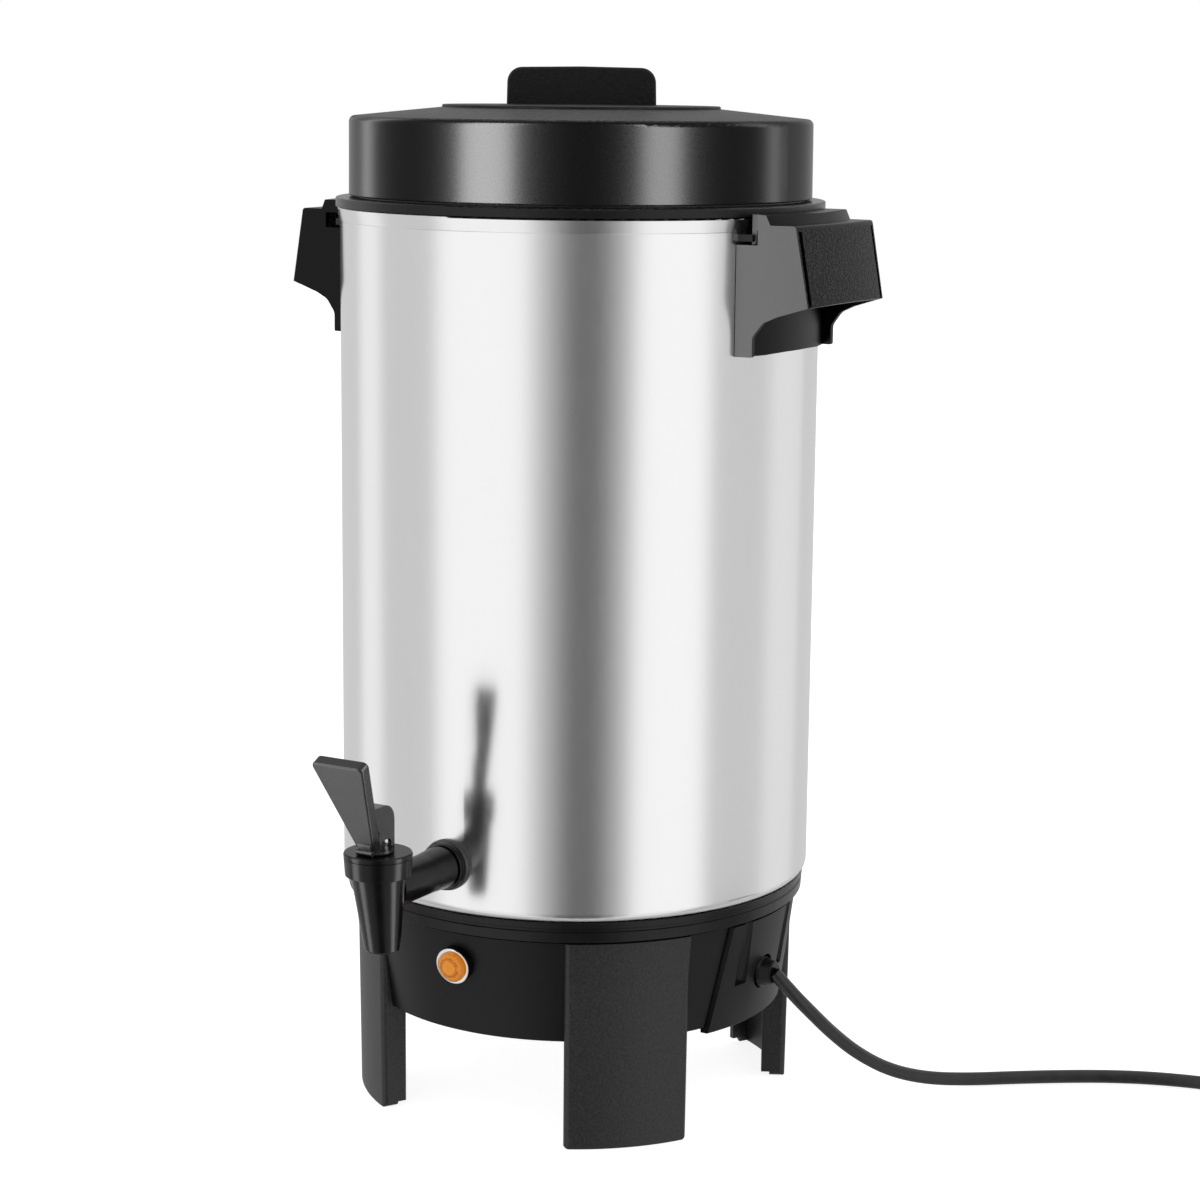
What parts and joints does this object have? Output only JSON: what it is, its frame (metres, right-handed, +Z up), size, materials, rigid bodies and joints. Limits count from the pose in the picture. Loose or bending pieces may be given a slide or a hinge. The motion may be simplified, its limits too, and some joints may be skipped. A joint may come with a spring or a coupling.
{
  "type": "coffee urn",
  "caption": "Electric percolating coffee urn: brushed aluminium body, lift-off black lid, side handles, lever tap at the front, black base on legs, pilot light and power cord.",
  "frame": {"origin": "centre of the circle of feet, on the surface that the urn stands on", "axes": "+Z up the vessel, -Y out of the tap, +X towards the side the cord leaves"},
  "size_m": [0.4902, 0.3244, 0.4576],
  "materials": {
    "aluminium_body": "satin brushed, clear anodised",
    "aluminium_inner": "mill finish",
    "black_shell": "satin black",
    "black_grained": "finely grained black",
    "black_gloss": "glossy black",
    "plated_steel": "zinc plated",
    "base_steel": "galvanised sheet",
    "silicone": "pale food-grade rubber",
    "heater_sheath": "oxidised sheath",
    "ceramic": "off-white insulator",
    "chrome_trim": "polished",
    "amber_lens": "clear amber, faceted",
    "lamp_glass": "clear",
    "cord_rubber": "satin black flex",
    "plug_brass": "bright"
  },
  "bodies": {
    "urn": {"tank": "aluminium_body", "collar_ring": "black_shell", "tap_body": "black_gloss", "tap_bonnet": "black_gloss", "valve_spring": "plated_steel", "tap_nut_outer": "black_gloss", "tap_nut_inner": "plated_steel", "tap_washer_outer": "silicone", "tap_washer_inner": "silicone", "handle_right": "black_grained", "handle_left": "black_grained", "handle_screws": "plated_steel", "handle_seals": "silicone", "handle_clips": "plated_steel", "base_band": "black_shell", "base_skirt": "black_shell", "leg_front_left": "black_grained", "leg_front_right": "black_grained", "leg_rear_left": "black_grained", "leg_rear_right": "black_grained", "leg_screws": "plated_steel", "base_plate": "base_steel", "base_plate_screws": "plated_steel", "body_nuts": "plated_steel", "brew_heater": "heater_sheath", "heater_clamp": "base_steel", "heater_nut": "plated_steel", "keep_warm_heater": "heater_sheath", "thermostat": "ceramic", "thermal_fuse": "ceramic", "terminal_block": "ceramic", "internal_wires": "cord_rubber", "indicator_housing": "black_gloss", "indicator_bezel": "chrome_trim", "indicator_lens": "amber_lens", "neon_lamp": "lamp_glass", "indicator_nut": "plated_steel", "strain_relief": "black_gloss", "power_cord": "cord_rubber", "cord_coil": "cord_rubber", "plug_body": "cord_rubber", "plug_blades": "plug_brass"},
    "lid": {"lid": "black_shell", "lid_liner": "aluminium_inner", "lid_grip": "black_grained", "lid_grip_screws": "plated_steel", "lid_liner_screws": "plated_steel"},
    "pump": {"pump_stem": "aluminium_inner", "pump_foot": "aluminium_inner"},
    "washer": {"pump_washer": "aluminium_inner"},
    "basket": {"basket": "aluminium_inner"},
    "spreader": {"basket_cover": "aluminium_inner"},
    "lever": {"tap_lever": "black_gloss"},
    "valve": {"valve_stem": "black_gloss", "valve_pin": "plated_steel", "seat_cup": "silicone"}
  },
  "joints": [
    {"name": "lid_lift", "type": "slide", "parent": "urn", "child": "lid", "axis": [0, 0, 1], "range_m": [0, 0.45]},
    {"name": "pump_lift", "type": "slide", "parent": "urn", "child": "pump", "axis": [0, 0, 1], "range_m": [0, 0.32]},
    {"name": "washer_lift", "type": "slide", "parent": "pump", "child": "washer", "axis": [0, 0, 1], "range_m": [0, 0.0025]},
    {"name": "basket_lift", "type": "slide", "parent": "pump", "child": "basket", "axis": [0, 0, 1], "range_m": [0, 0.085]},
    {"name": "spreader_lift", "type": "slide", "parent": "basket", "child": "spreader", "axis": [0, 0, 1], "range_m": [0, 0.04]},
    {"name": "tap_lever_tilt", "type": "hinge", "parent": "urn", "child": "lever", "pos_m": [0, -0.1652, 0.1434], "axis": [1, 0, 0], "range_deg": [0, 35], "stiffness_Nm_per_rad": 0.3, "springref_deg": -5.73},
    {"name": "valve_lift", "type": "slide", "parent": "urn", "child": "valve", "axis": [0, 0, 1], "range_m": [0, 0.0067], "deforming": ["valve_spring"]}
  ],
  "couplings": [
    {"joint": "pump_lift", "follows": "lid_lift", "ratio": 0.711},
    {"joint": "basket_lift", "follows": "lid_lift", "ratio": 0.188},
    {"joint": "spreader_lift", "follows": "lid_lift", "ratio": 0.088},
    {"joint": "valve_lift", "follows": "tap_lever_tilt", "m_per_rad": 0.0108}
  ]
}
